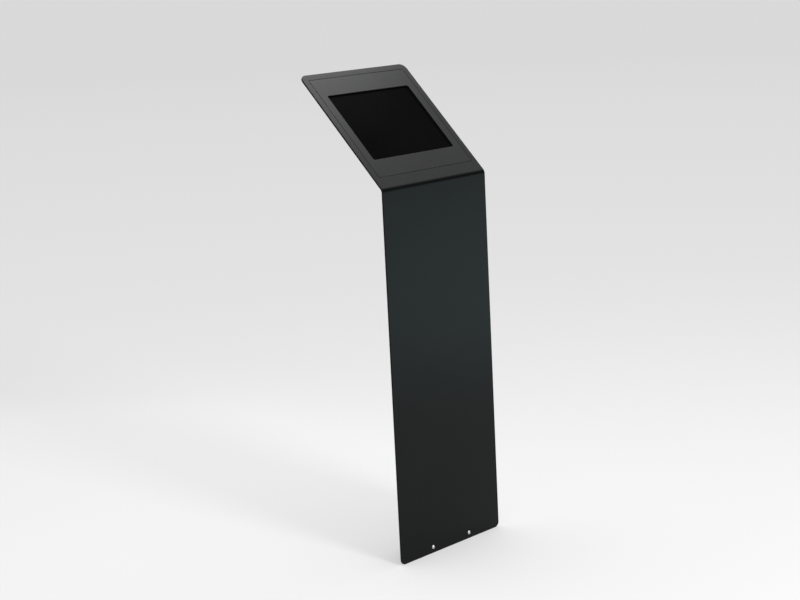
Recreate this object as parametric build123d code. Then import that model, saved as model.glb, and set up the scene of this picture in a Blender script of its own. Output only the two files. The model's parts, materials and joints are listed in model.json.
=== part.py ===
from build123d import *
import os
from math import sin, cos, atan2, degrees, radians, sqrt, pi

# Floor-standing touchscreen kiosk: one folded steel plate is the front panel
# and the sloping head; a slim column, a floor plate and a head housing stand
# behind it. Millimetres, +X right as seen from the front, +Y to the back, +Z up.
# The origin is the centre of the floor bolt pattern, on the floor.

# ---------------------------------------------------------------- dimensions
W = 340.0            # width of the folded plate
H = 865.0            # height of the sharp fold corner above the floor
L = 346.0            # fold corner to top edge, along the slope
TILT = 45.0          # head angle from the horizontal
TH = 4.0             # plate thickness
BEND_R = 15.0        # outer bend radius
R_FOOT = 13.0        # bottom corner radius
R_TOP = 17.0         # top corner radius

BOLT_X, BOLT_Y = 90.0, 66.0      # floor bolt spacing
BOLT_R = 5.5                     # M10 anchors
BOLT_BACK = 57.0                 # front face to bolt pattern centre
FY = -BOLT_BACK                  # y of the front face

WIN_W, WIN_L, WIN_V = 306.9, 296.0, 182.0   # window in the head
GAP = 0.6                                    # seam around the bezel
BEZ_T = 3.9                                  # bezel thickness
SCR_W, SCR_L, SCR_V = 262.9, 197.1, 182.4                # active area of the tablet
OPEN_W, OPEN_L, OPEN_V, OPEN_R = 263.5, 195.4, 181.6, 5.5   # screen opening

TAB_W, TAB_L, TAB_R = 280.6, 214.9, 18.0     # tablet outline
TAB_FRONT, TAB_SPLIT, TAB_BACK = -4.5, -5.3, -10.9

SCREW_X, SCREW_Z = 62.5, 14.0    # front screws

COL_X = 80.0         # half width of the column
COL_BACK = 74.0      # column depth behind the front face
SHEET = 2.0
DOOR_Y = COL_BACK + 0.3
HOUSE_TOP = 881.97   # underside of the head housing

s45, c45 = sin(radians(TILT)), cos(radians(TILT))

# ---------------------------------------------------------------- helpers
HEAD = Plane(origin=(0, FY, H), x_dir=(1, 0, 0), z_dir=(0, -s45, c45)).location


def head(shape):
    """From head axes (x, up the slope, outward) to the part's axes."""
    return HEAD * shape


def bx(x0, x1, y0, y1, z0, z1):
    return Pos((x0 + x1) / 2, (y0 + y1) / 2, (z0 + z1) / 2) * Box(
        abs(x1 - x0), abs(y1 - y0), abs(z1 - z0))


def yb(x0, x1, y0, y1, z0, z1):
    """Box given by distances behind the front face."""
    return bx(x0, x1, FY + y0, FY + y1, z0, z1)


def cyl(x, y, z0, z1, r):
    return Pos(x, y, (z0 + z1) / 2) * Cylinder(r, abs(z1 - z0))


def ycyl(x, z, y0, y1, r):
    """Round bar along Y, given by distances behind the front face."""
    return Pos(x, FY + (y0 + y1) / 2, z) * Rot(90, 0, 0) * Cylinder(r, abs(y1 - y0))


def rrect(w, l, r, z0, z1, x=0.0, y=0.0):
    return Pos(x, y, z0) * extrude(RectangleRounded(w, l, r), amount=z1 - z0)


def hexa(af, z0, z1, x=0.0, y=0.0, turn=0.0):
    return Pos(x, y, z0) * extrude(
        Rot(0, 0, turn) * RegularPolygon(af / 2, 6, major_radius=False), amount=z1 - z0)


def yhexa(af, x, z, y0, y1, turn=0.0):
    """Hexagon along Y; y0 is the end nearer the front."""
    body = extrude(Rot(0, 0, turn) * RegularPolygon(af / 2, 6, major_radius=False),
                   amount=abs(y1 - y0))
    return Pos(x, FY + max(y0, y1), z) * Rot(90, 0, 0) * body


def rod(a, b, w, z0, z1):
    """Flat bar with round ends from a to b, width w."""
    ax, ay = a
    bx_, by_ = b
    ln = sqrt((bx_ - ax) ** 2 + (by_ - ay) ** 2)
    ang = degrees(atan2(by_ - ay, bx_ - ax))
    sk = Pos((ax + bx_) / 2, (ay + by_) / 2) * Rot(0, 0, ang) * SlotCenterToCenter(ln, w)
    return Pos(0, 0, z0) * extrude(sk, amount=z1 - z0)


parts = {}


# ---------------------------------------------------------------- folded plate
def fascia_profile():
    iy = TH
    iv = (iy - TH * s45) / c45
    iz = H + iv * s45 - TH * c45
    pts = [(FY, 0), (FY, H), (FY + L * c45, H + L * s45),
           (FY + L * c45 + TH * s45, H + L * s45 - TH * c45), (FY + TH, iz), (FY + TH, 0)]
    face = make_face(Polyline([(p[0], p[1]) for p in pts], close=True))
    outer = min(face.vertices(), key=lambda v: (Vector(v.X, v.Y, v.Z) - Vector(FY, H, 0)).length)
    face = fillet(outer, BEND_R)
    innr = min(face.vertices(), key=lambda v: (Vector(v.X, v.Y, v.Z) - Vector(FY + TH, iz, 0)).length)
    face = fillet(innr, BEND_R - TH)
    return face


prof = Plane.YZ * fascia_profile()
fascia = extrude(prof, amount=W / 2, both=True)


def near(shape, point, n=1):
    return sorted(shape.edges(), key=lambda e: (e.center() - Vector(*point)).length)[:n]


for sx in (-1, 1):
    fascia = fillet(near(fascia, (sx * W / 2, FY + TH / 2, 0)), R_FOOT)
for sx in (-1, 1):
    p = (HEAD * Pos(sx * W / 2, L, -TH / 2)).position
    fascia = fillet(near(fascia, (p.X, p.Y, p.Z)), R_TOP)

fascia -= head(rrect(WIN_W, WIN_L, 2.0, -TH - 3, 3, 0, WIN_V))
for sx in (-1, 1):
    fascia -= ycyl(sx * SCREW_X, SCREW_Z, -2, TH + 2, 2.75)
parts["front_fascia"] = fascia

# two button-head screws with hex sockets, and their threaded inserts
screws = []
inserts = []
for sx in (-1, 1):
    r, h = 4.75, 2.75
    R = (r * r + h * h) / (2 * h)
    dome = Pos(sx * SCREW_X, FY + (R - h), SCREW_Z) * Sphere(R)
    dome = dome & yb(sx * SCREW_X - 6, sx * SCREW_X + 6, -h, -0.0, SCREW_Z - 6, SCREW_Z + 6)
    scr = dome + ycyl(sx * SCREW_X, SCREW_Z, -0.2, 14.0, 2.5)
    scr -= yhexa(3.0, sx * SCREW_X, SCREW_Z, -4.0, -1.1)
    screws.append(scr)
    inserts.append(ycyl(sx * SCREW_X, SCREW_Z, 4.0, 15.0, 3.5) -
                   ycyl(sx * SCREW_X, SCREW_Z, 3.0, 16.0, 2.55))
parts["fascia_screws"] = Compound(children=screws)
parts["threaded_inserts"] = Compound(children=inserts)

# ---------------------------------------------------------------- foot
plate = yb(-76, 76, 9, 72, 0, 10) + yb(-60, 60, 72, 104, 0, 10)
plate = fillet([e for e in plate.edges().filter_by(Axis.Z) if e.center().Y > FY + 100], 8)
for sx in (-1, 1):
    for sy in (-1, 1):
        plate -= cyl(sx * BOLT_X / 2, sy * BOLT_Y / 2, -1, 11, BOLT_R)
parts["floor_plate"] = plate

up = yb(-76, 76, 4, 9, 0, 46)
up = fillet([e for e in up.edges().filter_by(Axis.Y) if e.center().Z > 40], 5)
for sx in (-1, 1):
    up -= ycyl(sx * SCREW_X, SCREW_Z, 3, 10, 3.5)
parts["screw_upright"] = up

gus = []
for sx in (-1, 1):
    tri = make_face(Polyline([(FY + 9, 10), (FY + 35, 10), (FY + 9, 40)], close=True))
    gus.append(Pos(sx * 20 - 2, 0, 0) * extrude(Plane.YZ * tri, amount=4))
parts["foot_gussets"] = Compound(children=gus)

# ---------------------------------------------------------------- column
col = yb(-COL_X, COL_X, 4, COL_BACK, 1.5, 881.9) - yb(-COL_X + SHEET, COL_X - SHEET, 3, COL_BACK - SHEET, 0, 890)
col += yb(-94, -COL_X + 0.5, 4, 6, 60, 850) + yb(COL_X - 0.5, 94, 4, 6, 60, 850)
col = fillet([e for e in col.edges().filter_by(Axis.Z) if e.center().Y > FY + COL_BACK - 0.1], 3.0)
# the back wall stops above the floor plate
col -= yb(-77.9, 77.9, 60, 80, 0, 10.4)
# the top follows the underside of the head
col -= head(bx(-120, 120, -60, 120, -8.2, 60))
# service opening and cable hole in the back wall
OP_X, OP_Z0, OP_Z1 = 55.0, 70.0, 330.0
col -= Pos(0, FY + COL_BACK + 5, (OP_Z0 + OP_Z1) / 2) * Rot(90, 0, 0) * extrude(
    RectangleRounded(2 * OP_X, OP_Z1 - OP_Z0, 6), amount=12)
col -= ycyl(0, 38, COL_BACK - 6, COL_BACK + 4, 11)
parts["column_channel"] = col

cap = yb(-77.9, 77.9, 27, 71.9, 879.9, 881.9)
slot_cut = Pos(0, FY + 32, 860) * extrude(SlotOverall(22, 16), amount=40)
cap -= slot_cut
CAP_BOLTS = [(sx * 60, y) for sx in (-1, 1) for y in (41.5, 61)]
for x, y in CAP_BOLTS:
    cap -= cyl(x, FY + y, 870, 890, 3.3)
parts["column_cap"] = cap

# ---------------------------------------------------------------- head housing
HV = 184.0


def frustum(hx0, hv0, w0, hx1, hv1, w1, r):
    a = Pos(0, HV, w0) * RectangleRounded(2 * hx0, 2 * hv0, r)
    b = Pos(0, HV, w1) * RectangleRounded(2 * hx1, 2 * hv1, r)
    return loft([a.face() if hasattr(a, "face") else a, b.face() if hasattr(b, "face") else b])


KX = 42.0 / 34.0
nx = SHEET * sqrt(1 + KX * KX)
nv = SHEET * sqrt(2)


def hx(w):
    return 160.0 - KX * (-6.0 - w)


def hv(w):
    return 154.0 - (-6.0 - w)


house = frustum(hx(-6), hv(-6), -6, hx(-40), hv(-40), -40, 6.0)
house = fillet([e for e in house.edges() if abs(e.center().Z + 40) < 1e-3], 4.0)
inner = frustum(hx(-5) - nx, hv(-5) - nv, -5, hx(-38) - nx, hv(-38) - nv, -38, 4.0)
inner = fillet([e for e in inner.edges() if abs(e.center().Z + 38) < 1e-3], 2.0)
house -= inner
rim = frustum(hx(-6) - nx + 0.6, hv(-6) - nv + 0.6, -6, hx(-8) - nx + 0.6, hv(-8) - nv + 0.6, -8, 4.0)
rim -= bx(-146, 146, HV - 140, HV + 140, -9, -5)
house += rim
house -= bx(-9, 9, 24, 50, -12, -5)
# ventilation slots, in two rows
for i in range(11):
    for v in (112, 196):
        house -= Pos((i - 5) * 13, v, -42) * extrude(Rot(0, 0, 90) * SlotOverall(52, 3.2), amount=6)
# lock hole with a flat, and the lock stands on the back wall
LOCK_V = 282.0
house -= cyl(0, LOCK_V, -42, -36, 9.6)
house = head(house)
house -= slot_cut
for x, y in CAP_BOLTS:
    house -= cyl(x, FY + y, 870, 890, 3.3)
parts["head_housing"] = house

cap_bolts, cap_nuts = [], []
for x, y in CAP_BOLTS:
    b = cyl(x, FY + y, 871, 885, 3.0) + Pos(x, FY + y, 0) * hexa(10, 884.0, 888.0)
    cap_bolts.append(b)
    cap_nuts.append(Pos(x, FY + y, 0) * hexa(10, 874.8, 879.9) - cyl(x, FY + y, 870, 890, 3.05))
parts["cap_bolts"] = Compound(children=cap_bolts)
parts["cap_nuts"] = Compound(children=cap_nuts)

# ---------------------------------------------------------------- support frame
fr = rrect(322, 312, 4, -6, -4, 0, 182)
fr -= rrect(284, 219, 20, -7, -3, 0, SCR_V)
fr -= bx(-7.5, 7.5, 38, 76, -7, -3)                       # plug and cable
fr -= bx(-15, 11, 304.5, 312.5, -7, -3)                   # locking hook
PINS = [(sx * 134, v) for sx in (-1, 1) for v in (54, 312)]
for x, v in PINS:
    fr -= cyl(x, v, -7, -3, 5.1)
TRAY = [(sx * 108, SCR_V + sv * 115.5) for sx in (-1, 1) for sv in (-1, 1)]
for x, v in TRAY:
    fr -= cyl(x, v, -7, -3, 2.1)
    fr -= Pos(x, v, -5) * Cone(2.1, 4.1, 2.0)
parts["support_frame"] = head(fr)

sock = []
for x, v in PINS:
    sk = cyl(x, v, -14, -4.3, 5.0) + cyl(x, v, -7.5, -6.0, 7.0)
    sk -= cyl(x, v, -15, -4, 3.5)
    sock.append(head(sk))
parts["catch_sockets"] = Compound(children=sock)

# ---------------------------------------------------------------- tablet tray
tray = rrect(288, 222, 21.5, -13.9, -6.05, 0, SCR_V) - rrect(285, 219, 20, -12.4, -5, 0, SCR_V)
fl = bx(-130, 130, SCR_V - 120.5, SCR_V + 120.5, -7.5, -6.05) - bx(-131, 131, SCR_V - 110.5, SCR_V + 110.5, -8, -5)
tray += fl
tray -= rrect(200, 90, 10, -15, -11, 0, SCR_V)
tray -= bx(-8, 8, 60, 76, -11.4, -5)
for x, v in TRAY:
    tray -= cyl(x, v, -9, -5, 2.1)
parts["tablet_tray"] = head(tray)

tscr, tnut = [], []
for x, v in TRAY:
    sc = Pos(x, v, -5.0) * Cone(2.0, 4.0, 2.0) + cyl(x, v, -13, -5.9, 2.0)
    sc -= cyl(x, v, -5.2, -3, 1.1)
    tscr.append(head(sc))
    tnut.append(head(hexa(7, -10.7, -7.5, x, v) - cyl(x, v, -12, -5, 2.05)))
parts["tray_screws"] = Compound(children=tscr)
parts["tray_nuts"] = Compound(children=tnut)

pads = []
ring = rrect(284.8, 218.8, 19.9, -12.3, -6.1, 0, SCR_V) - rrect(281.0, 215.3, 18.2, -13, -5, 0, SCR_V)
for sx in (-1, 1):
    for sv in (-1, 1):
        box = Pos(sx * 127, SCR_V + sv * 94, -9) * Box(36, 36, 10)
        pads.append(head(ring & box))
parts["corner_pads"] = Compound(children=pads)

foam = [head(bx(-105, 105, SCR_V + sv * 68 - 8, SCR_V + sv * 68 + 8, -12.35, -11.0)) for sv in (-1, 1)]
parts["foam_strips"] = Compound(children=foam)

# ---------------------------------------------------------------- tablet
top_v = SCR_V + TAB_L / 2
KEYS = {"power_key": 90.0, "volume_up_key": -76.0, "volume_down_key": -92.0}
shell = rrect(TAB_W, TAB_L, TAB_R, TAB_BACK, TAB_SPLIT, 0, SCR_V)
shell = fillet([e for e in shell.edges() if abs(e.center().Z - TAB_BACK) < 1e-6], 1.6)
shell -= rrect(TAB_W - 2.4, TAB_L - 2.4, TAB_R - 1.2, TAB_BACK + 1.0, TAB_SPLIT + 1, 0, SCR_V)
shell -= bx(-4.6, 4.6, 70, 77, -9.1, -6.3)
for x in KEYS.values():
    shell -= bx(x - 6, x + 6, top_v - 2, top_v + 2, -9.2, -6.8)
parts["tablet_shell"] = head(shell)
parts["tablet_glass"] = head(rrect(TAB_W, TAB_L, TAB_R, TAB_SPLIT, TAB_FRONT, 0, SCR_V))
parts["tablet_display"] = head(rrect(266, 200, 3, -7.0, TAB_SPLIT, 0, SCR_V))
parts["tablet_battery"] = Compound(children=[
    head(rrect(100, 150, 2, -9.8, -7.3, sx * 72, SCR_V)) for sx in (-1, 1)])
parts["tablet_board"] = head(bx(-18, 18, SCR_V - 84, SCR_V + 84, -9.2, -8.2) +
                             bx(-12, 12, SCR_V - 30, SCR_V - 6, -8.3, -7.4) +
                             bx(-10, 10, SCR_V + 14, SCR_V + 34, -8.3, -7.4))
for name, x in KEYS.items():
    parts[name] = head(bx(x - 5.65, x + 5.65, top_v - 1.6, top_v + 0.6, -8.85, -7.15) +
                       bx(x - 7, x + 7, top_v - 2.6, top_v - 1.55, -9.4, -7.05))

# ---------------------------------------------------------------- bezel (lifts off)
bez = rrect(WIN_W - 2 * GAP, WIN_L - 2 * GAP, 1.4, -BEZ_T, 0, 0, WIN_V)
bez -= rrect(OPEN_W, OPEN_L, OPEN_R, -6, 2, 0, OPEN_V)
parts["bezel_panel"] = head(bez)
pins = []
for x, v in PINS:
    p = cyl(x, v, -12.5, -BEZ_T, 2.6) + Pos(x, v, -11.0) * Sphere(3.1)
    p = p & bx(x - 5, x + 5, v - 5, v + 5, -13.6, -BEZ_T)
    pins.append(head(p))
parts["bezel_pins"] = Compound(children=pins)
hook = bx(-13, -9.5, 306.5, 310.5, -26, -BEZ_T) + bx(-13, 9, 306.5, 310.5, -26, -22.5)
parts["bezel_hook"] = head(hook)
parts["screen_gasket"] = head(rrect(273, 207, 9, -4.4, -BEZ_T, 0, SCR_V) -
                              rrect(264.7, 198.9, 6.4, -5, -3, 0, SCR_V))

# ---------------------------------------------------------------- head lock
bar = cyl(0, LOCK_V, -42, -40, 12) + cyl(0, LOCK_V, -41, -22, 9.4)
bar = fillet([e for e in bar.edges() if abs(e.center().Z + 42) < 1e-6], 0.8)
bar -= cyl(0, LOCK_V, -43, -20, 6.05)
parts["lock_barrel"] = head(bar)
parts["lock_nut"] = head(hexa(24, -38, -34, 0, LOCK_V) - cyl(0, LOCK_V, -40, -30, 9.45))
core = cyl(0, LOCK_V, -42.5, -21.5, 6.0) + bx(-3.5, 3.5, LOCK_V - 3.5, LOCK_V + 3.5, -22, -19)
core -= bx(-0.7, 0.7, LOCK_V - 3.6, LOCK_V + 3.6, -43, -36)
core -= cyl(0, LOCK_V, -26, -18, 2.05)
parts["lock_core"] = head(core)
cam = rod((0, LOCK_V), (24.5, LOCK_V), 15, -21.4, -19.4)
cam -= bx(-3.55, 3.55, LOCK_V - 3.55, LOCK_V + 3.55, -23, -18)
parts["lock_cam"] = head(cam)
cs = cyl(0, LOCK_V, -25.5, -18.5, 2.0) + cyl(0, LOCK_V, -18.95, -16.8, 5.2)
cs -= bx(-0.5, 0.5, LOCK_V - 6, LOCK_V + 6, -17.6, -16)
parts["cam_screw"] = head(cs)

# ---------------------------------------------------------------- service door
HX, HY = -68.0, FY + COL_BACK + 3.8      # hinge axis
KR, PR = 3.6, 2.0
DZ0, DZ1 = 62.0, 338.0
door = yb(-63.8, 66, COL_BACK + 0.3, COL_BACK + 2.3, DZ0, DZ1)
door = fillet([e for e in door.edges().filter_by(Axis.Y)], 4)
for i in range(9):
    door -= Pos(0, FY + COL_BACK + 6, 250 + i * 8) * Rot(90, 0, 0) * extrude(SlotOverall(64, 3.2), amount=8)
DLX, DLZ = 42.0, 200.0
door -= ycyl(DLX, DLZ, COL_BACK - 2, COL_BACK + 5, 8.6)
parts["door_panel"] = door

fixed, doorl, hp, fsc, drv = [], [], [], [], []
for zc in (112.0, 288.0):
    z0, z1, z2, z3 = zc - 22, zc - 9, zc + 9, zc + 22
    f = yb(-79, -72.5, COL_BACK, COL_BACK + 1.5, z0, z3)
    d = yb(-63.2, -44, COL_BACK + 2.3, COL_BACK + 3.8, z0, z3)
    for a, b in ((z0, z1 - 0.2), (z2 + 0.2, z3)):
        f += yb(-73, HX, COL_BACK, COL_BACK + 1.5, a, b)
        f += cyl(HX, HY, a, b, KR)
    d += yb(HX, -63, COL_BACK + 2.3, COL_BACK + 3.8, z1 + 0.2, z2 - 0.2)
    d += cyl(HX, HY, z1 + 0.2, z2 - 0.2, KR)
    f -= cyl(HX, HY, z0 - 1, z3 + 1, PR + 0.05)
    d -= cyl(HX, HY, z0 - 1, z3 + 1, PR + 0.05)
    fixed.append(f)
    doorl.append(d)
    hp.append(cyl(HX, HY, z0 - 0.6, z3 + 0.6, PR) + cyl(HX, HY, z3 + 0.05, z3 + 1.8, 3.0)
              + cyl(HX, HY, z0 - 1.8, z0 - 0.05, 3.0))
    for dz in (-15, 15):
        # low round heads on the leaves
        fsc.append(ycyl(-75.8, zc + dz, COL_BACK + 1.5, COL_BACK + 2.6, 2.4))
        drv.append(ycyl(-52, zc + dz, COL_BACK + 3.8, COL_BACK + 5.0, 3.0))
parts["hinge_fixed_leaves"] = Compound(children=fixed)
parts["hinge_door_leaves"] = Compound(children=doorl)
parts["hinge_pins"] = Compound(children=hp)
parts["hinge_screws"] = Compound(children=fsc)
parts["door_rivets"] = Compound(children=drv)

B = COL_BACK
db = ycyl(DLX, DLZ, B + 2.3, B + 4.3, 11) + ycyl(DLX, DLZ, B - 2.8, B + 3.3, 8.4)
db = fillet([e for e in db.edges() if abs(e.center().Y - (FY + B + 4.3)) < 1e-6], 0.8)
db -= ycyl(DLX, DLZ, B - 6, B + 8, 5.05)
parts["door_lock_barrel"] = db
parts["door_lock_nut"] = yhexa(20, DLX, DLZ, B - 2.7, B + 0.3, 30) - ycyl(DLX, DLZ, B - 4, B + 2, 8.45)
dc = ycyl(DLX, DLZ, B - 3.1, B + 4.7, 5.0) + yb(DLX - 3, DLX + 3, B - 5.4, B - 3.0, DLZ - 3, DLZ + 3)
dc -= yb(DLX - 0.7, DLX + 0.7, B + 0.5, B + 6, DLZ - 3.2, DLZ + 3.2)
dc -= ycyl(DLX, DLZ, B - 7, B - 0.5, 1.55)
parts["door_lock_core"] = dc
dcam = Pos(0, FY + B - 3.2, 0) * Rot(90, 0, 0) * (
    Pos(DLX, DLZ, 0) * extrude(Pos(0, -8.25) * Rot(0, 0, 90) * SlotCenterToCenter(16.5, 14), amount=2.0))
dcam -= yb(DLX - 3.05, DLX + 3.05, B - 7, B - 2, DLZ - 3.05, DLZ + 3.05)
parts["door_lock_cam"] = dcam
dsc = ycyl(DLX, DLZ, B - 5.4, B - 0.8, 1.5) + ycyl(DLX, DLZ, B - 7.2, B - 5.4, 4.4)
dsc -= yb(DLX - 4, DLX + 4, B - 8, B - 6.6, DLZ - 0.4, DLZ + 0.4)
parts["door_cam_screw"] = dsc

# ---------------------------------------------------------------- power
brk = yb(-40, 40, 12, 13.5, 145, 285)
brk += yb(-40, -38.5, 4, 13.5, 145, 285) + yb(38.5, 40, 4, 13.5, 145, 285)
brk += yb(-36, 36, 13, 46, 157.5, 159)
brk -= yb(-13, 13, 20, 50, 150, 162)
parts["psu_bracket"] = brk
psu = yb(-30, 30, 13.6, 43.6, 159.1, 270)
psu = fillet([e for e in psu.edges().filter_by(Axis.Z)], 4)
psu -= yb(-8.5, 8.5, 25, 33, 158, 169)
parts["power_supply"] = psu
parts["inlet_pins"] = Compound(children=[
    cyl(sx * 4.3, FY + 29, 161, 169.0, 1.2) for sx in (-1, 1)])
strap = yb(-31.4, 31.4, 13.5, 45.0, 208, 224) - yb(-30.05, 30.05, 12, 43.7, 200, 230)
parts["psu_strap"] = strap

CR = 2.0


def hp3(v, w):
    """A point in the head's mid plane, in the part's axes."""
    return (0, FY + v * c45 - w * s45, H + v * s45 + w * c45)


PLUG_V = 50.5
route = [hp3(PLUG_V, -7.7), hp3(36.0, -7.7)]
y1 = route[1][1]
route += [(0, y1, 850), (0, FY + 9.5, 790), (0, FY + 9.5, 345), (0, FY + 29, 292), (0, FY + 29, 270)]
radii = [13, 60, 80, 80, 40]
print("cable radii", radii)
path = FilletPolyline(*route, radius=radii)
d0 = Vector(*route[1]) - Vector(*route[0])
sec = Plane(origin=route[0], z_dir=d0.normalized()) * Circle(CR)
cable = sweep(sec, path=path)
print("cable volume", cable.volume, "section x length", pi * CR * CR * path.length)
parts["charge_cable"] = cable

plug = rrect(11, 22, 2, -10.6, -4.8, 0, 61.5) - bx(-6, 6, 72.4, 80, -12, -3)
plug += bx(-4.2, 4.2, 72, 82.0, -8.9, -6.5)
plug = plug & bx(-20, 20, PLUG_V, 90, -20, 0)
parts["usb_plug"] = head(plug)

clips = []
for z in (740, 570, 400):
    cp = yb(-6, 6, 4, 13, z - 5, z + 5)
    cp = fillet([e for e in cp.edges().filter_by(Axis.Z) if e.center().Y > FY + 12], 3)
    clips.append(cp - cyl(0, FY + 9.5, z - 9, z + 9, CR + 0.05))
parts["cable_clips"] = Compound(children=clips)

gr = ycyl(0, 38, B + 0.0, B + 2.2, 14) + ycyl(0, 38, B - 4.2, B - 2.0, 14) + ycyl(0, 38, B - 4.2, B + 2.2, 10.9)
gr -= ycyl(0, 38, B - 6, B + 4, 7)
parts["cable_grommet"] = gr

# ---------------------------------------------------------------- write
os.makedirs("parts", exist_ok=True)
for name, shape in parts.items():
    sols = shape.solids()
    shape = sols[0] if len(sols) == 1 else Compound(children=list(sols))
    export_step(shape, f"parts/{name}.step")
print(len(parts), "nodes")
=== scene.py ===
import json
import math

import bmesh
import bpy
from mathutils import Matrix, Vector


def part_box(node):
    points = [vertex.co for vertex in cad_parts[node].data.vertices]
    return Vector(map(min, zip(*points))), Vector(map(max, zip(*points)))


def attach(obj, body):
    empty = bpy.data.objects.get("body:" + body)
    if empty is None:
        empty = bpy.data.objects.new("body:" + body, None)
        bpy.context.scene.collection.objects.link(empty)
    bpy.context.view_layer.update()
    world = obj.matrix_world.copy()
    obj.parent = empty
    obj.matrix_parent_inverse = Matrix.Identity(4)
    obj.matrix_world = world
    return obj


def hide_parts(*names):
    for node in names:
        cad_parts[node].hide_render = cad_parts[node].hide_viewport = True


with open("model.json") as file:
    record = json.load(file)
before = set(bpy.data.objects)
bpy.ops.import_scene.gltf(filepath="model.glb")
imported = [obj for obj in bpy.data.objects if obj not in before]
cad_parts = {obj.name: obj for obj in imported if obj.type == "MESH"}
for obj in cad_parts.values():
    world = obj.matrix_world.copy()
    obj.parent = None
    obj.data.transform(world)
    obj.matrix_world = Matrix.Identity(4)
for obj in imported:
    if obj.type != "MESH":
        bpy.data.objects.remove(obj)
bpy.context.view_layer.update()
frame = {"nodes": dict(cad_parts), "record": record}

NODES = frame["nodes"]
MM = 0.001

# ------------------------------------------------------------------ the plate
# Flat pattern of the folded plate: x across, s along its outer face from the
# floor, t into the thickness. It is cut flat, rounded at its edges and folded.
lo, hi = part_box("front_fascia")
FACE_Y = lo.y                       # front face
W = hi.x - lo.x
TH = 4.0 * MM
BEND = 15.0 * MM
H = 865.0 * MM                      # sharp fold corner
L = 346.0 * MM
SA = H - BEND * math.tan(math.radians(22.5))
SB = SA + BEND * math.radians(45)
VT = BEND * math.tan(math.radians(22.5))
S2 = math.sqrt(0.5)
UP = Vector((0, S2, S2))            # up the slope
OUT = Vector((0, -S2, S2))          # out of the head
CORNER = Vector((0, FACE_Y, H))


def head(x, v, w):
    """A point given across, up the slope and out of the head, all in metres."""
    return CORNER + Vector((x, 0, 0)) + UP * v + OUT * w


def fold(p):
    x, s, t = p
    if s <= SA:
        return Vector((x, FACE_Y + t, s))
    if s < SB:
        a = (s - SA) / BEND
        r = BEND - t
        return Vector((x, FACE_Y + BEND - r * math.cos(a), SA + r * math.sin(a)))
    return head(x, VT + (s - SB), -t)


def rounded(x0, x1, y0, y1, radii, n=8):
    """Makes loop(d): a rounded rectangle, with every side moved in by d."""
    def loop(d):
        pts = []
        corners = ((x1 - d, y0 + d, -90, radii[0]), (x1 - d, y1 - d, 0, radii[1]),
                   (x0 + d, y1 - d, 90, radii[2]), (x0 + d, y0 + d, 180, radii[3]))
        for cx, cy, a0, r in corners:
            r = max(r - d, 0.02 * MM)
            mx = cx - r if a0 in (-90, 0) else cx + r
            my = cy + r if a0 in (-90, 180) else cy - r
            for i in range(n + 1):
                a = math.radians(a0 + 90 * i / n)
                pts.append((mx + r * math.cos(a), my + r * math.sin(a)))
        return pts
    return loop


def circle(cx, cy, r, n=32):
    def loop(d):
        return [(cx + (r - d) * math.cos(2 * math.pi * i / n),
                 cy + (r - d) * math.sin(2 * math.pi * i / n)) for i in range(n)]
    return loop


def grow(loop):
    """The same loop as the edge of a hole: d moves into the plate."""
    return lambda d: loop(-d)


def plate_mesh(name, loops, t0, t1, edge, place, cuts_y=(), cuts_x=(), steps=3):
    """A closed plate with holes and rounded edges. loops[0] is the outline."""
    bm = bmesh.new()
    prof = []
    for i in range(steps + 1):
        a = math.pi / 2 * i / steps
        prof.append((edge * (1 - math.sin(a)), t0 + edge * (1 - math.cos(a))))
    for i in range(steps, -1, -1):
        a = math.pi / 2 * i / steps
        prof.append((edge * (1 - math.sin(a)), t1 - edge * (1 - math.cos(a))))
    first, last = [], []
    for loop in loops:
        rings = [[bm.verts.new((p[0], p[1], t)) for p in loop(d)] for d, t in prof]
        n = len(rings[0])
        for a, b in zip(rings, rings[1:]):
            for i in range(n):
                bm.faces.new((a[i], a[(i + 1) % n], b[(i + 1) % n], b[i]))
        for ring, store in ((rings[0], first), (rings[-1], last)):
            for i in range(n):
                store.append(bm.edges.get((ring[i], ring[(i + 1) % n])))
    for edges in (first, last):
        bmesh.ops.triangle_fill(bm, use_beauty=True, use_dissolve=False, edges=edges, normal=(0, 0, 1))
    for y in cuts_y:
        bmesh.ops.bisect_plane(bm, geom=bm.verts[:] + bm.edges[:] + bm.faces[:],
                               plane_co=(0, y, 0), plane_no=(0, 1, 0), dist=1e-7)
    for x in cuts_x:
        bmesh.ops.bisect_plane(bm, geom=bm.verts[:] + bm.edges[:] + bm.faces[:],
                               plane_co=(x, 0, 0), plane_no=(1, 0, 0), dist=1e-7)
    for v in bm.verts:
        v.co = place(v.co)
    bmesh.ops.recalc_face_normals(bm, faces=bm.faces[:])
    return to_object(name, bm)


def to_object(name, bm, smooth=True, weighted=True):
    me = bpy.data.meshes.new(name)
    bm.to_mesh(me)
    bm.free()
    if smooth:
        me.polygons.foreach_set("use_smooth", [True] * len(me.polygons))
    ob = bpy.data.objects.new(name, me)
    bpy.context.scene.collection.objects.link(ob)
    if weighted:
        m = ob.modifiers.new("weighted", "WEIGHTED_NORMAL")
        m.mode = "FACE_AREA"
        m.weight = 90
        m.keep_sharp = True
    return ob


# ------------------------------------------------------------------ materials
def new_mat(name):
    m = bpy.data.materials.new(name)
    m.use_nodes = True
    nt = m.node_tree
    return m, nt, nt.nodes["Principled BSDF"]


def node(nt, kind, **kw):
    n = nt.nodes.new(kind)
    for k, v in kw.items():
        if k in n.inputs:
            n.inputs[k].default_value = v
        else:
            setattr(n, k, v)
    return n


def coords(nt):
    return nt.nodes.new("ShaderNodeTexCoord").outputs["Object"]


def noise(nt, vec, scale, detail=2.0, rough=0.5):
    n = node(nt, "ShaderNodeTexNoise")
    n.inputs["Scale"].default_value = scale
    n.inputs["Detail"].default_value = detail
    n.inputs["Roughness"].default_value = rough
    nt.links.new(vec, n.inputs["Vector"])
    return n.outputs["Fac"]


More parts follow.
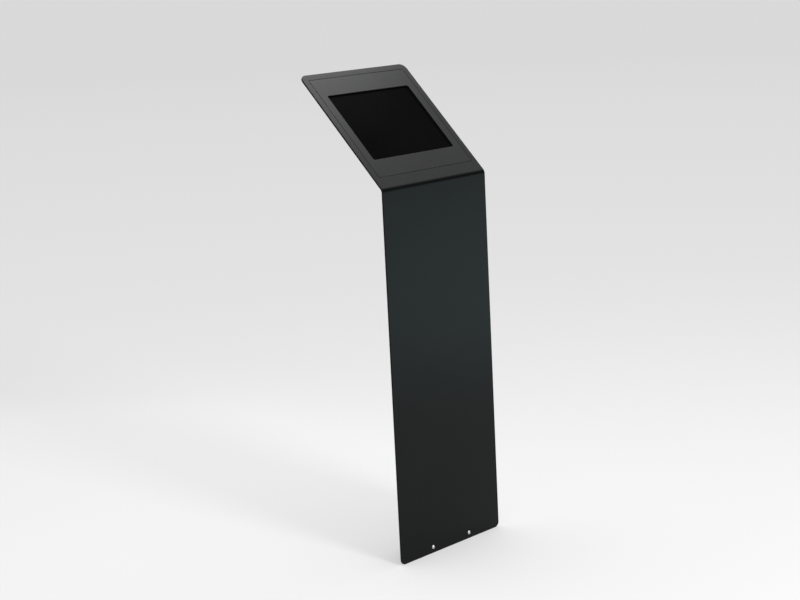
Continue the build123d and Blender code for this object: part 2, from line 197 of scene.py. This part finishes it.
def ramp(nt, fac, stops):
    r = nt.nodes.new("ShaderNodeValToRGB")
    el = r.color_ramp.elements
    while len(el) < len(stops):
        el.new(0.5)
    for e, (p, c) in zip(el, stops):
        e.position = p
        e.color = c if len(c) == 4 else (*c, 1)
    nt.links.new(fac, r.inputs["Fac"])
    return r.outputs["Color"]


def rerange(nt, fac, a, b, c, d):
    m = nt.nodes.new("ShaderNodeMapRange")
    m.inputs["From Min"].default_value = a
    m.inputs["From Max"].default_value = b
    m.inputs["To Min"].default_value = c
    m.inputs["To Max"].default_value = d
    nt.links.new(fac, m.inputs["Value"])
    return m.outputs["Result"]


def bump(nt, height, strength, distance, normal=None):
    b = nt.nodes.new("ShaderNodeBump")
    b.inputs["Strength"].default_value = strength
    b.inputs["Distance"].default_value = distance
    nt.links.new(height, b.inputs["Height"])
    if normal is not None:
        nt.links.new(normal, b.inputs["Normal"])
    return b.outputs["Normal"]


def coat(name, dark, light, r0, r1, spec=0.5, grain=1900.0, depth=1.0):
    """Fine-texture powder coat: a tight grain on a soft orange peel."""
    m, nt, p = new_mat(name)
    vec = coords(nt)
    tone = noise(nt, vec, 7.0, 3.0, 0.55)
    fine = noise(nt, vec, grain, 2.0, 0.6)
    peel = noise(nt, vec, 420.0, 2.0, 0.5)
    mix = nt.nodes.new("ShaderNodeMath")
    mix.operation = "MULTIPLY_ADD"
    mix.inputs[1].default_value = 0.35
    nt.links.new(fine, mix.inputs[0])
    nt.links.new(tone, mix.inputs[2])
    col = ramp(nt, mix.outputs[0], [(0.42, dark), (0.92, light)])
    nt.links.new(col, p.inputs["Base Color"])
    nt.links.new(rerange(nt, peel, 0.3, 0.7, r0, r1), p.inputs["Roughness"])
    n1 = bump(nt, peel, 0.35 * depth, 0.00006)
    n2 = bump(nt, fine, 0.45 * depth, 0.00003, n1)
    nt.links.new(n2, p.inputs["Normal"])
    p.inputs["Specular IOR Level"].default_value = spec
    return m


def metal(name, a, b, r0, r1, brush=None, scale=900.0, scratch=0.25):
    """Bare or plated steel with fine brushing or a soft mottle."""
    m, nt, p = new_mat(name)
    vec = coords(nt)
    mp = nt.nodes.new("ShaderNodeMapping")
    nt.links.new(vec, mp.inputs["Vector"])
    if brush is not None:
        mp.inputs["Scale"].default_value = brush
    lines = noise(nt, mp.outputs["Vector"], scale, 3.0, 0.6)
    blot = noise(nt, vec, 60.0, 3.0, 0.5)
    col = ramp(nt, blot, [(0.3, a), (0.7, b)])
    nt.links.new(col, p.inputs["Base Color"])
    nt.links.new(rerange(nt, lines, 0.25, 0.75, r0, r1), p.inputs["Roughness"])
    nt.links.new(bump(nt, lines, scratch, 0.00002), p.inputs["Normal"])
    p.inputs["Metallic"].default_value = 1.0
    return m


def zinc(name):
    """Galvanised sheet: faint spangle."""
    m, nt, p = new_mat(name)
    vec = coords(nt)
    v = nt.nodes.new("ShaderNodeTexVoronoi")
    v.inputs["Scale"].default_value = 130.0
    nt.links.new(vec, v.inputs["Vector"])
    sep = nt.nodes.new("ShaderNodeSeparateColor")
    nt.links.new(v.outputs["Color"], sep.inputs["Color"])
    col = ramp(nt, sep.outputs[0], [(0.0, (0.38, 0.39, 0.40)), (1.0, (0.52, 0.53, 0.54))])
    nt.links.new(col, p.inputs["Base Color"])
    nt.links.new(rerange(nt, sep.outputs[1], 0, 1, 0.34, 0.5), p.inputs["Roughness"])
    nt.links.new(bump(nt, noise(nt, vec, 300.0), 0.15, 0.00003), p.inputs["Normal"])
    p.inputs["Metallic"].default_value = 1.0
    return m


def plastic(name, a, b, r0, r1, scale=1200.0, spec=0.5, depth=0.3):
    """Moulded plastic with a spark-eroded grain."""
    m, nt, p = new_mat(name)
    vec = coords(nt)
    v = nt.nodes.new("ShaderNodeTexVoronoi")
    v.inputs["Scale"].default_value = scale
    nt.links.new(vec, v.inputs["Vector"])
    tone = noise(nt, vec, 40.0, 2.0, 0.5)
    nt.links.new(ramp(nt, tone, [(0.3, a), (0.7, b)]), p.inputs["Base Color"])
    nt.links.new(rerange(nt, tone, 0.3, 0.7, r0, r1), p.inputs["Roughness"])
    nt.links.new(bump(nt, v.outputs["Distance"], depth, 0.00004), p.inputs["Normal"])
    p.inputs["Specular IOR Level"].default_value = spec
    return m


def foam(name):
    m, nt, p = new_mat(name)
    vec = coords(nt)
    v = nt.nodes.new("ShaderNodeTexVoronoi")
    v.inputs["Scale"].default_value = 1500.0
    nt.links.new(vec, v.inputs["Vector"])
    nt.links.new(ramp(nt, v.outputs["Distance"], [(0.0, (0.006, 0.006, 0.006)), (0.8, (0.03, 0.03, 0.03))]),
                 p.inputs["Base Color"])
    nt.links.new(bump(nt, v.outputs["Distance"], 0.6, 0.0001), p.inputs["Normal"])
    nt.links.new(rerange(nt, noise(nt, vec, 90.0), 0.3, 0.7, 0.85, 0.95), p.inputs["Roughness"])
    return m


def glass_front(name):
    """Cover glass over an unlit panel. The inked border is a touch lighter."""
    m, nt, p = new_mat(name)
    vec = coords(nt)
    smear = noise(nt, vec, 9.0, 4.0, 0.6)
    dust = noise(nt, vec, 600.0, 1.0, 0.4)
    sep = nt.nodes.new("ShaderNodeSeparateXYZ")
    nt.links.new(vec, sep.inputs[0])
    absx = nt.nodes.new("ShaderNodeMath")
    absx.operation = "ABSOLUTE"
    nt.links.new(sep.outputs["X"], absx.inputs[0])
    edge = nt.nodes.new("ShaderNodeMapRange")
    edge.inputs["From Min"].default_value = 0.1313
    edge.inputs["From Max"].default_value = 0.1317
    nt.links.new(absx.outputs[0], edge.inputs["Value"])
    c1 = ramp(nt, smear, [(0.3, (0.0019, 0.0019, 0.0020)), (0.75, (0.0025, 0.0025, 0.0025))])
    c2 = ramp(nt, smear, [(0.3, (0.0075, 0.0075, 0.0078)), (0.75, (0.0085, 0.0085, 0.0087))])
    mx = nt.nodes.new("ShaderNodeMix")
    mx.data_type = "RGBA"
    nt.links.new(edge.outputs["Result"], mx.inputs["Factor"])
    nt.links.new(c1, mx.inputs[6])
    nt.links.new(c2, mx.inputs[7])
    nt.links.new(mx.outputs[2], p.inputs["Base Color"])
    nt.links.new(rerange(nt, smear, 0.3, 0.75, 0.16, 0.24), p.inputs["Roughness"])
    nt.links.new(bump(nt, dust, 0.04, 0.00002), p.inputs["Normal"])
    p.inputs["Specular IOR Level"].default_value = 0.002
    return m


def board(name):
    """Green board: copper pours under solder mask, tracks and pads."""
    m, nt, p = new_mat(name)
    vec = coords(nt)
    b = nt.nodes.new("ShaderNodeTexBrick")
    b.inputs["Scale"].default_value = 120.0
    b.inputs["Color1"].default_value = (0.01, 0.07, 0.035, 1)
    b.inputs["Color2"].default_value = (0.012, 0.09, 0.045, 1)
    b.inputs["Mortar"].default_value = (0.02, 0.13, 0.07, 1)
    b.inputs["Mortar Size"].default_value = 0.012
    nt.links.new(vec, b.inputs["Vector"])
    nt.links.new(b.outputs["Color"], p.inputs["Base Color"])
    nt.links.new(bump(nt, b.outputs["Fac"], 0.3, 0.00005), p.inputs["Normal"])
    nt.links.new(rerange(nt, noise(nt, vec, 80.0), 0.3, 0.7, 0.28, 0.4), p.inputs["Roughness"])
    return m


M = {
    "plate_coat": coat("plate_coat", (0.0017, 0.0021, 0.0021), (0.0026, 0.0031, 0.0031), 0.30, 0.38, spec=0.12),
    "bezel_coat": coat("bezel_coat", (0.0034, 0.0037, 0.0037), (0.0050, 0.0054, 0.0054), 0.30, 0.38, spec=0.12),
    "housing_coat": coat("housing_coat", (0.0135, 0.0140, 0.0142), (0.0185, 0.0190, 0.0192), 0.40, 0.52, spec=0.38, depth=1.3),
    "zinc_sheet": zinc("zinc_sheet"),
    "bright_steel": metal("bright_steel", (0.62, 0.62, 0.61), (0.70, 0.70, 0.69), 0.16, 0.30, scratch=0.12),
    "zinc_steel": metal("zinc_steel", (0.50, 0.51, 0.52), (0.62, 0.62, 0.61), 0.28, 0.42, scratch=0.2),
    "hinge_steel": metal("hinge_steel", (0.42, 0.42, 0.42), (0.50, 0.50, 0.50), 0.25, 0.42,
                         brush=(1, 1, 0.06), scale=1400.0, scratch=0.3),
    "lock_chrome": metal("lock_chrome", (0.60, 0.60, 0.60), (0.66, 0.66, 0.66), 0.10, 0.2, scratch=0.06),
    "socket_plastic": plastic("socket_plastic", (0.012, 0.012, 0.012), (0.018, 0.018, 0.018), 0.45, 0.6),
    "pad_rubber": plastic("pad_rubber", (0.010, 0.010, 0.010), (0.015, 0.015, 0.015), 0.62, 0.78, 800.0, 0.35),
    "foam": foam("foam"),
    "tablet_alu": metal("tablet_alu", (0.16, 0.165, 0.17), (0.19, 0.195, 0.20), 0.32, 0.42, scale=2600.0, scratch=0.25),
    "cover_glass": glass_front("cover_glass"),
    "display_panel": plastic("display_panel", (0.006, 0.006, 0.007), (0.010, 0.010, 0.011), 0.3, 0.4, 500.0, 0.3, 0.05),
    "battery_foil": plastic("battery_foil", (0.03, 0.03, 0.032), (0.045, 0.045, 0.047), 0.3, 0.45, 260.0, 0.5, 0.4),
    "board": board("board"),
    "psu_plastic": plastic("psu_plastic", (0.014, 0.014, 0.014), (0.020, 0.020, 0.020), 0.42, 0.58, 900.0),
    "brass_pins": metal("brass_pins", (0.60, 0.43, 0.17), (0.70, 0.52, 0.22), 0.18, 0.3, scratch=0.15),
    "strap_plastic": plastic("strap_plastic", (0.012, 0.012, 0.012), (0.020, 0.020, 0.020), 0.4, 0.55, 1500.0),
    "cable_jacket": plastic("cable_jacket", (0.011, 0.011, 0.011), (0.016, 0.016, 0.016), 0.5, 0.62, 1800.0),
    "plug_plastic": plastic("plug_plastic", (0.014, 0.014, 0.014), (0.020, 0.020, 0.020), 0.42, 0.55, 1400.0),
}


def dress(ob, slot_name):
    ob.data.materials.clear()
    ob.data.materials.append(M[slot_name])


# every CAD node gets its slot's material; the nodes listed in EDGE also get softly broken edges
SLOT = {s["node"]: s["material_slot"] for s in frame["record"]["subparts"]}
EDGE = {
    "column_channel": 0.35, "head_housing": 0.35, "floor_plate": 0.6, "screw_upright": 0.5,
    "door_panel": 0.35, "column_cap": 0.3, "support_frame": 0.25, "tablet_tray": 0.25, "psu_bracket": 0.25,
    "power_supply": 0.8, "foot_gussets": 0.3, "hinge_fixed_leaves": 0.2, "hinge_door_leaves": 0.2,
    "lock_nut": 0.3, "cap_nuts": 0.25, "cap_bolts": 0.25, "door_lock_nut": 0.25, "tray_nuts": 0.2,
    "bezel_hook": 0.3, "lock_cam": 0.25, "door_lock_cam": 0.25, "usb_plug": 0.2, "cable_clips": 0.4,
    "psu_strap": 0.25, "door_rivets": 0.3, "hinge_screws": 0.25, "cable_grommet": 0.4, "catch_sockets": 0.25,
    "lock_barrel": 0.25, "door_lock_barrel": 0.25, "lock_core": 0.2, "door_lock_core": 0.2, "hinge_pins": 0.25,
    "cam_screw": 0.2, "door_cam_screw": 0.2, "fascia_screws": 0.12, "tablet_battery": 0.4, "tablet_board": 0.15,
}
for name, ob in NODES.items():
    dress(ob, SLOT[name])
    ob.data.polygons.foreach_set("use_smooth", [True] * len(ob.data.polygons))
    w = ob.modifiers.new("weld", "WELD")
    w.merge_threshold = 2e-6
    if name in EDGE:
        b = ob.modifiers.new("edge", "BEVEL")
        b.width = EDGE[name] * MM
        b.segments = 2
        b.limit_method = "ANGLE"
        b.angle_limit = math.radians(38)
        b.use_clamp_overlap = True
        b.harden_normals = False
    n = ob.modifiers.new("weighted", "WEIGHTED_NORMAL")
    n.mode = "FACE_AREA"
    n.weight = 90
    n.keep_sharp = True

# ------------------------------------------------------------------ fascia
WIN = (-153.45 * MM, 153.45 * MM, (182.0 - 148.0) * MM, (182.0 + 148.0) * MM)
TOP_S = SB + (L - VT)


def v_to_s(v):
    return SB + v - VT


fascia = plate_mesh(
    "fascia_plate",
    [rounded(-W / 2, W / 2, 0, TOP_S, (13 * MM, 17 * MM, 17 * MM, 13 * MM), 12),
     grow(rounded(WIN[0], WIN[1], v_to_s(WIN[2]), v_to_s(WIN[3]), (2 * MM,) * 4, 6)),
     grow(circle(-62.5 * MM, 14 * MM, 2.75 * MM, 32)),
     grow(circle(62.5 * MM, 14 * MM, 2.75 * MM, 32))],
    0.0, TH, 0.55 * MM, fold,
    cuts_y=[SA + (SB - SA) * i / 14 for i in range(15)] + [0.06 * i for i in range(1, 15)]
           + [SB + 0.012, SB + 0.07, SB + 0.13, SB + 0.19, SB + 0.25, SB + 0.31],
    cuts_x=[-0.12, -0.06, 0.0, 0.06, 0.12])
dress(fascia, "plate_coat")
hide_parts("front_fascia")
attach(fascia, "stand")

# ------------------------------------------------------------------ bezel
blo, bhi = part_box("bezel_panel")
GAP = 0.6 * MM


def on_head(p):
    return head(p[0], p[1], -p[2])


bezel = plate_mesh(
    "bezel_plate",
    [rounded(WIN[0] + GAP, WIN[1] - GAP, WIN[2] + GAP, WIN[3] - GAP, (1.4 * MM,) * 4, 6),
     grow(rounded(-131.75 * MM, 131.75 * MM, (181.6 - 97.7) * MM, (181.6 + 97.7) * MM, (5.5 * MM,) * 4, 12))],
    0.0, 3.9 * MM, 0.45 * MM, on_head,
    cuts_y=[0.06, 0.12, 0.1824, 0.245, 0.305], cuts_x=[-0.07, 0.0, 0.07])
dress(bezel, "bezel_coat")
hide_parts("bezel_panel")
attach(bezel, "bezel")

# ------------------------------------------------------------------ cover glass
glass = plate_mesh(
    "tablet_front",
    [rounded(-140.3 * MM, 140.3 * MM, (182.4 - 107.45) * MM, (182.4 + 107.45) * MM, (18 * MM,) * 4, 14)],
    4.5 * MM, 5.3 * MM, 0.28 * MM, on_head,
    cuts_y=[0.13, 0.1824, 0.235], cuts_x=[-0.07, 0.0, 0.07])
dress(glass, "cover_glass")
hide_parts("tablet_glass")
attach(glass, "stand")

# ------------------------------------------------------------------ studio
floor_bm = bmesh.new()
bmesh.ops.create_grid(floor_bm, x_segments=8, y_segments=8, size=400)
floor = to_object("floor", floor_bm, weighted=False)
# painted light: the floor glows though it is no lamp; half of its paleness is its own glow, which keeps shadows soft,
# and the glow is a painted pool of light, brightest near the stand and fading with distance
fm, fnt, fp = new_mat("studio_floor")
fp.inputs["Base Color"].default_value = (0.45, 0.45, 0.45, 1)
fp.inputs["Roughness"].default_value = 0.8
fp.inputs["Specular IOR Level"].default_value = 0.0
fvec = coords(fnt)
# painted pool of light: distance from its centre, a point beside the stand
painted_pool_dist = fnt.nodes.new("ShaderNodeVectorMath")
painted_pool_dist.operation = "DISTANCE"
painted_pool_dist.inputs[1].default_value = (-0.6, 0.9, 0.0)
fnt.links.new(fvec, painted_pool_dist.inputs[0])
# painted pool of light: the floor's own glow, brightest near the stand and dimmer far away
painted_pool_glow = ramp(fnt, rerange(fnt, painted_pool_dist.outputs["Value"], 0.0, 16.0, 0.0, 1.0),
             [(0.070, (0.325,) * 3), (0.088, (0.290,) * 3), (0.112, (0.275,) * 3), (0.30, (0.272,) * 3),
              (0.62, (0.252,) * 3), (1.0, (0.23,) * 3)])
fnt.links.new(painted_pool_glow, fp.inputs["Emission Color"])
fp.inputs["Emission Strength"].default_value = 1.0
floor.data.materials.append(fm)
floor.location = (0, 0, -0.0002)

# a soft dome, with a dark patch low on the right, in front
world = bpy.data.worlds.new("studio")
bpy.context.scene.world = world
world.use_nodes = True
wnt = world.node_tree
wgen = wnt.nodes.new("ShaderNodeTexCoord").outputs["Generated"]
wsep = wnt.nodes.new("ShaderNodeSeparateXYZ")
wnt.links.new(wgen, wsep.inputs[0])
dome = ramp(wnt, wsep.outputs["Z"], [(0.30, (0.30,) * 3), (0.60, (1.30,) * 3)])
wdot = wnt.nodes.new("ShaderNodeVectorMath")
wdot.operation = "DOT_PRODUCT"
wdot.inputs[1].default_value = (0.76, -0.65, 0.0)
wnt.links.new(wgen, wdot.inputs[0])
patch = rerange(wnt, wdot.outputs["Value"], 0.68, 0.80, 1.0, 0.03)
wmul = wnt.nodes.new("ShaderNodeVectorMath")
wmul.operation = "SCALE"
wnt.links.new(dome, wmul.inputs[0])
wnt.links.new(patch, wmul.inputs["Scale"])
# the backdrop itself is plain and pale, like the far floor; the dome only lights
wray = wnt.nodes.new("ShaderNodeLightPath")
wmix = wnt.nodes.new("ShaderNodeMix")
wmix.data_type = "RGBA"
wmix.inputs[7].default_value = (0.69, 0.69, 0.69, 1)
wnt.links.new(wray.outputs["Is Camera Ray"], wmix.inputs["Factor"])
wnt.links.new(wmul.outputs[0], wmix.inputs[6])
wnt.links.new(wmix.outputs[2], wnt.nodes["Background"].inputs["Color"])
wnt.nodes["Background"].inputs["Strength"].default_value = 1.0


def area(name, loc, aim, size, radiance, size_y=None, tint=(1, 1, 1)):
    """An area light given by how bright its face is, 1 being a lit white card."""
    d = bpy.data.lights.new(name, "AREA")
    d.shape = "RECTANGLE"
    d.size = size
    d.size_y = size_y or size
    d.energy = radiance * math.pi * d.size * d.size_y
    d.color = tint
    o = bpy.data.objects.new(name, d)
    bpy.context.scene.collection.objects.link(o)
    o.location = loc
    o.rotation_euler = (Vector(aim) - Vector(loc)).to_track_quat("-Z", "Y").to_euler()
    o.visible_camera = False
    return o


area("key_front", (-0.35, -3.4, 2.1), (0, 0, 0.5), 0.8, 36.0)
area("head_light", (0.52, 0.20, 2.05), (0.02, 0.06, 1.0), 0.70, 2.75)
area("head_fill", (0.62, 0.30, 1.95), (0.02, 0.06, 1.0), 0.60, 2.0)
area("head_wide", (1.75, -0.35, 2.75), (0.02, 0.0, 1.0), 1.7, 0.57)
area("floor_card", (2.55, -2.55, 0.01), (2.55, -2.55, 1.0), 2.6, 1.95, tint=(0.60, 1.0, 1.03))

# ------------------------------------------------------------------ camera
cam_data = bpy.data.cameras.new("camera")
cam_data.sensor_width = 36.0
cam_data.lens = 1751.39 / 800 * 36.0
cam = bpy.data.objects.new("camera", cam_data)
bpy.context.scene.collection.objects.link(cam)
right = Vector((0.68999109, -0.72214127, -0.04923694))
down = Vector((-0.17898621, -0.1043149, -0.97830585))
fwd = Vector((0.70133889, 0.68383506, -0.20122968))
turn = Matrix.Rotation(0.60 / 1751.39, 3, -down) @ Matrix.Rotation(0.70 / 1751.39, 3, right)
rot = turn @ Matrix((right, -down, -fwd)).transposed()
eye = Vector((-2869.325, -2669.986, 1397.370)) * MM + Vector((0, FACE_Y, 0))
cam.matrix_world = Matrix.Translation(eye) @ rot.to_4x4()
cam_data.clip_end = 200.0
bpy.context.scene.camera = cam
bpy.context.scene.view_settings.view_transform = "Standard"
